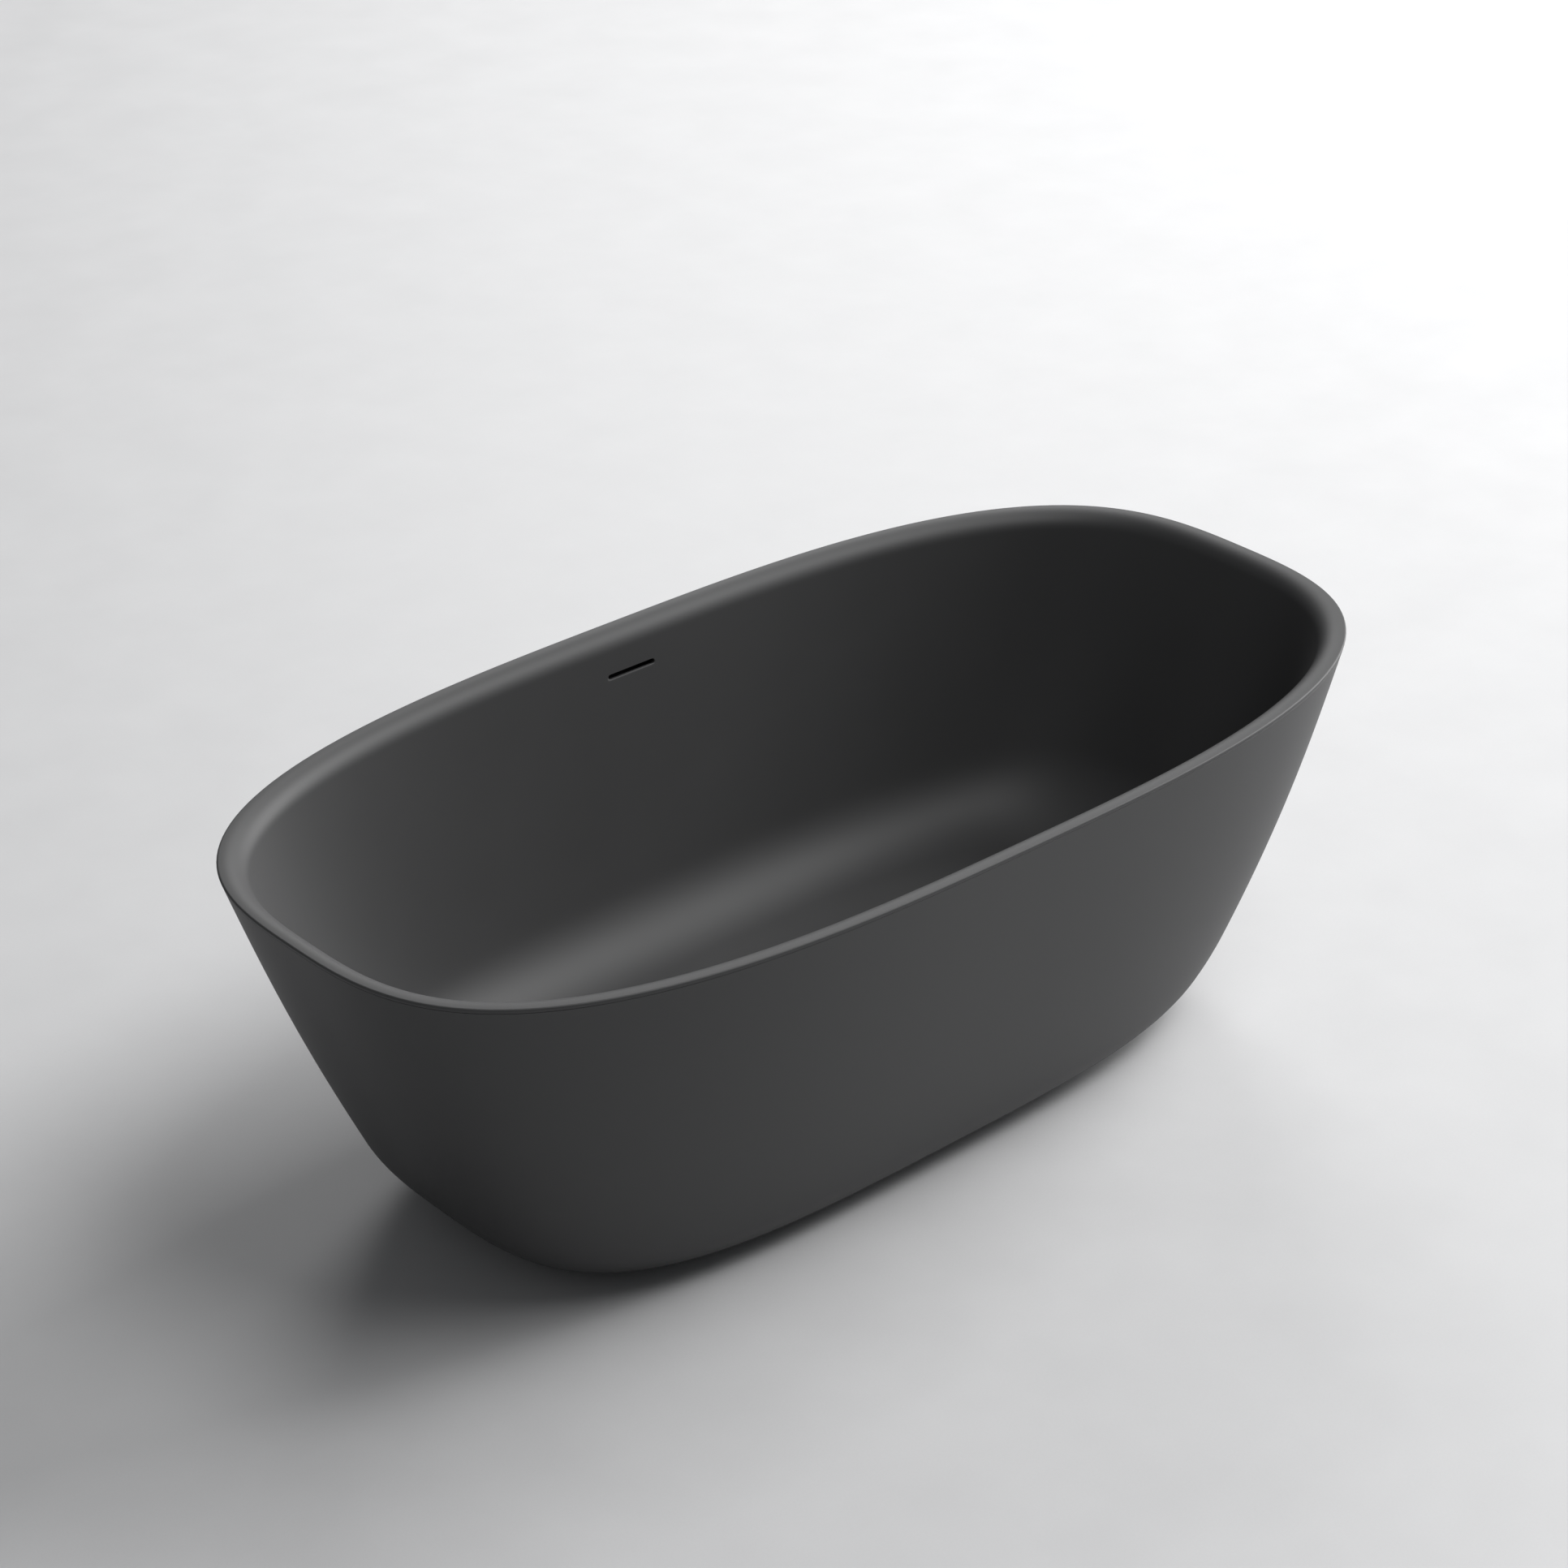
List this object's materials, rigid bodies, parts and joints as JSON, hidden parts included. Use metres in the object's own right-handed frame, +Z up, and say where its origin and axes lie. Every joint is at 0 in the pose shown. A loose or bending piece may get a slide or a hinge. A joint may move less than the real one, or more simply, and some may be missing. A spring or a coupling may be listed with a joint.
{
  "type": "freestanding bathtub",
  "caption": "Double-skin freestanding bathtub with a slot overflow, click plug, trap, base frame and threaded levelling feet.",
  "frame": {"origin": "centre of the footprint, on the floor plane the foot pads rest on", "axes": "+X along the tub, +Y towards the overflow side, +Z up"},
  "size_m": [1.7, 0.8499, 0.56],
  "materials": {
    "matt_charcoal_inner": "matt, fine even grain",
    "matt_charcoal_outer": "matt, fine even grain",
    "matt_charcoal_cap": "matt powder coat",
    "grey_foam": "closed-cell foam",
    "black_moulding": "moulded",
    "grey_hose": "corrugated",
    "band_steel": "bright",
    "plated_brass": "plated",
    "black_rubber": "moulded",
    "white_moulding": "moulded",
    "board_wood": "plain board",
    "painted_frame": "powder coat",
    "zinc_steel": "zinc plated",
    "pad_rubber": "moulded"
  },
  "bodies": {
    "tub": {"base_frame": "painted_frame", "basin_shell": "matt_charcoal_inner", "bracket_screws": "zinc_steel", "click_barrel": "plated_brass", "click_spring": "band_steel", "drain_flange": "plated_brass", "drain_seal_lower": "black_rubber", "drain_seal_upper": "black_rubber", "floor_board": "board_wood", "frame_screws": "zinc_steel", "hose_clip_lower": "band_steel", "hose_clip_upper": "band_steel", "outer_skirt": "matt_charcoal_outer", "outlet_nut": "white_moulding", "outlet_seal": "black_rubber", "overflow_box": "black_moulding", "overflow_hose": "grey_hose", "overflow_seal": "grey_foam", "skirt_brackets": "zinc_steel", "stud_lock_nuts": "zinc_steel", "trap_body": "white_moulding", "trap_cap": "white_moulding", "trap_cap_seal": "black_rubber", "trap_union_nut": "white_moulding", "trap_washer": "black_rubber", "waste_body": "black_moulding"},
    "plug": {"plug_cap": "matt_charcoal_cap", "plug_stem": "plated_brass", "plug_seal": "black_rubber"},
    "pad_left_front": {"foot_pad_left_front": "pad_rubber"},
    "stud_left_front": {"foot_stud_left_front": "zinc_steel"},
    "pad_left_back": {"foot_pad_left_back": "pad_rubber"},
    "stud_left_back": {"foot_stud_left_back": "zinc_steel"},
    "pad_right_front": {"foot_pad_right_front": "pad_rubber"},
    "stud_right_front": {"foot_stud_right_front": "zinc_steel"},
    "pad_right_back": {"foot_pad_right_back": "pad_rubber"},
    "stud_right_back": {"foot_stud_right_back": "zinc_steel"}
  },
  "joints": [
    {"name": "plug_lift", "type": "slide", "parent": "tub", "child": "plug", "axis": [0, 0, 1], "range_m": [0, 0.009], "deforming": ["click_spring"]},
    {"name": "foot_height_left_front", "type": "slide", "parent": "tub", "child": "pad_left_front", "axis": [0, 0, -1], "range_m": [0, 0.018]},
    {"name": "stud_turn_left_front", "type": "hinge", "parent": "pad_left_front", "child": "stud_left_front", "pos_m": [-0.34, -0.135, 0.05], "axis": [0, 0, 1], "range_deg": [-3704, 0]},
    {"name": "foot_height_left_back", "type": "slide", "parent": "tub", "child": "pad_left_back", "axis": [0, 0, -1], "range_m": [0, 0.018]},
    {"name": "stud_turn_left_back", "type": "hinge", "parent": "pad_left_back", "child": "stud_left_back", "pos_m": [-0.34, 0.135, 0.05], "axis": [0, 0, 1], "range_deg": [-3704, 0]},
    {"name": "foot_height_right_front", "type": "slide", "parent": "tub", "child": "pad_right_front", "axis": [0, 0, -1], "range_m": [0, 0.018]},
    {"name": "stud_turn_right_front", "type": "hinge", "parent": "pad_right_front", "child": "stud_right_front", "pos_m": [0.34, -0.135, 0.05], "axis": [0, 0, 1], "range_deg": [-3704, 0]},
    {"name": "foot_height_right_back", "type": "slide", "parent": "tub", "child": "pad_right_back", "axis": [0, 0, -1], "range_m": [0, 0.018]},
    {"name": "stud_turn_right_back", "type": "hinge", "parent": "pad_right_back", "child": "stud_right_back", "pos_m": [0.34, 0.135, 0.05], "axis": [0, 0, 1], "range_deg": [-3704, 0]}
  ],
  "couplings": [
    {"joint": "stud_turn_left_front", "follows": "foot_height_left_front", "rad_per_m": -3590.4},
    {"joint": "stud_turn_left_back", "follows": "foot_height_left_back", "rad_per_m": -3590.4},
    {"joint": "stud_turn_right_front", "follows": "foot_height_right_front", "rad_per_m": -3590.4},
    {"joint": "stud_turn_right_back", "follows": "foot_height_right_back", "rad_per_m": -3590.4}
  ]
}
